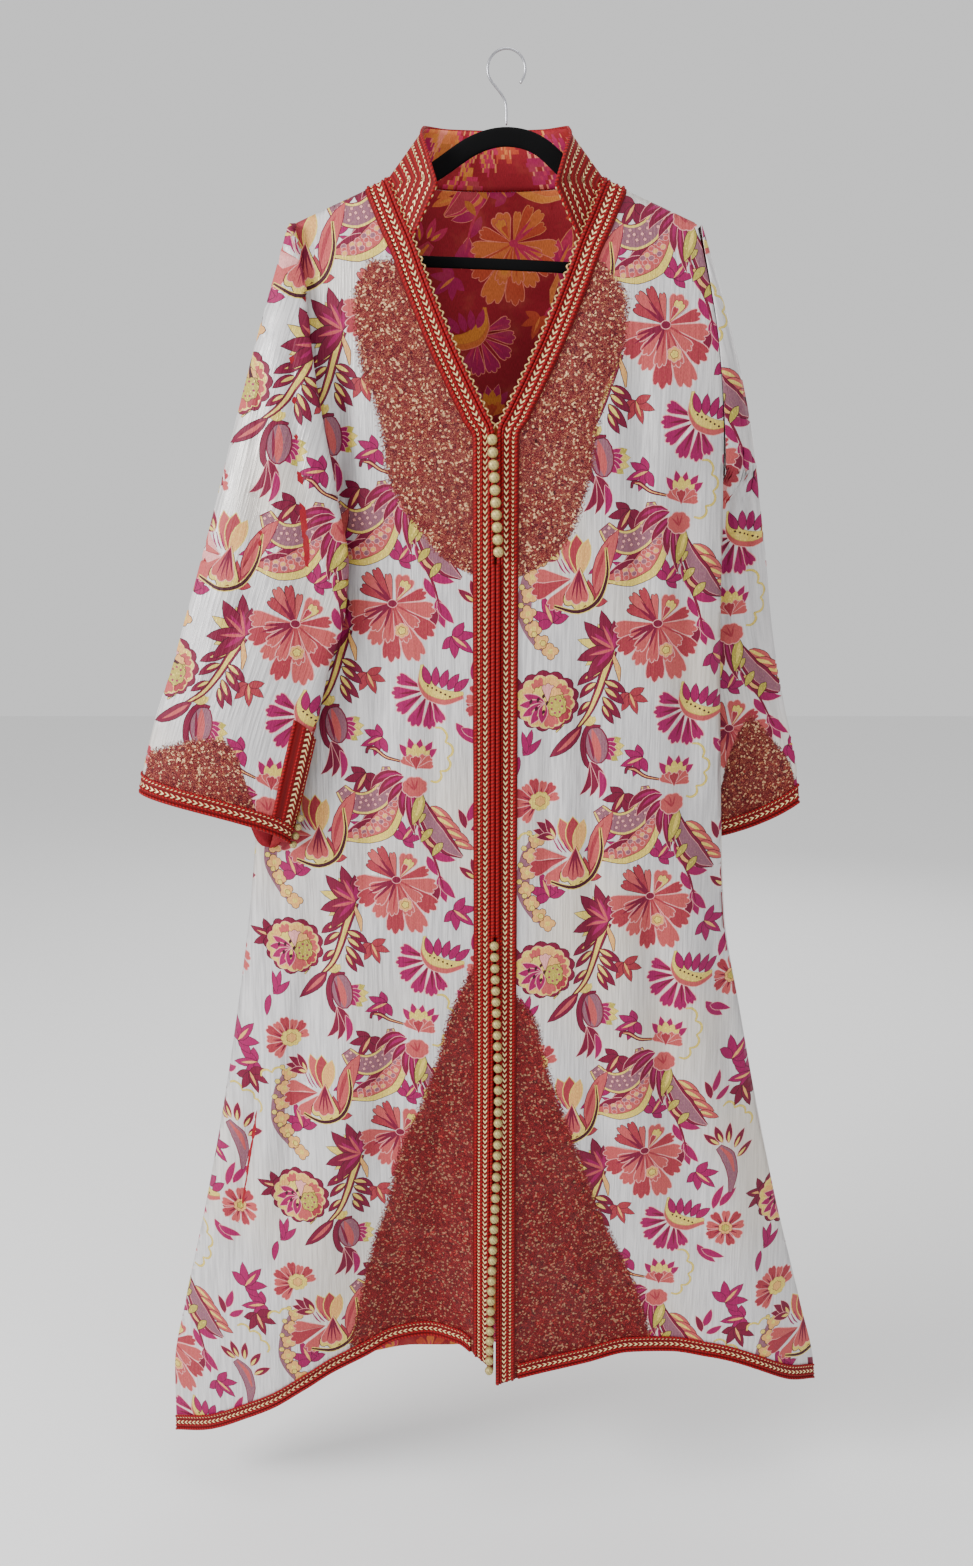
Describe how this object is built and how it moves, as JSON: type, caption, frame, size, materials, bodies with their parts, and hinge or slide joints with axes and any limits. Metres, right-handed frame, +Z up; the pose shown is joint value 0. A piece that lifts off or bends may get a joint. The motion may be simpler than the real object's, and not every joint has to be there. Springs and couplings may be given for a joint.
{
  "type": "moroccan kaftan on a hanger",
  "caption": "Long open-front brocade robe with wide sleeves, stand collar, braid edges and ball buttons, hanging on a slim hanger.",
  "frame": {"origin": "inside top of the hanger's hook, where it rests on a rail", "axes": "+Z up along the garment's length, -Y out of its front, +X to the wearer's left"},
  "size_m": [0.834, 0.161, 1.6594],
  "materials": {
    "brocade": "silver-white jacquard with large flowers in coral, magenta, yellow and mauve, soft sheen",
    "braid": "red corded braid with rows of gold chevron stitches",
    "red_cord": "twisted red cord",
    "gold_ball": "knotted pale gold thread",
    "hanger_black": "black flocked plastic",
    "hook_steel": "bright steel wire"
  },
  "bodies": {
    "root": {"front_right": "brocade", "front_left": "brocade", "back": "brocade", "sleeve_right": "brocade", "sleeve_left": "brocade", "collar": "brocade", "front_braid_right": "braid", "front_braid_left": "braid", "hem_braid_front_right": "braid", "hem_braid_front_left": "braid", "cuff_braid_right": "braid", "cuff_braid_left": "braid", "slit_braid_right": "braid", "slit_braid_left": "braid", "hem_braid_back": "braid", "opening_piping_right": "red_cord", "opening_piping_left": "red_cord", "button_01": "gold_ball", "button_02": "gold_ball", "button_03": "gold_ball", "button_04": "gold_ball", "button_05": "gold_ball", "button_06": "gold_ball", "button_07": "gold_ball", "button_08": "gold_ball", "button_09": "gold_ball", "button_10": "gold_ball", "button_row_lower": "gold_ball", "cuff_button_right_1": "gold_ball", "cuff_button_right_2": "gold_ball", "cuff_button_right_3": "gold_ball", "cuff_button_right_4": "gold_ball", "cuff_button_left_1": "gold_ball", "cuff_button_left_2": "gold_ball", "cuff_button_left_3": "gold_ball", "cuff_button_left_4": "gold_ball", "hanger_frame": "hanger_black", "hanger_hook": "hook_steel"}
  },
  "joints": []
}
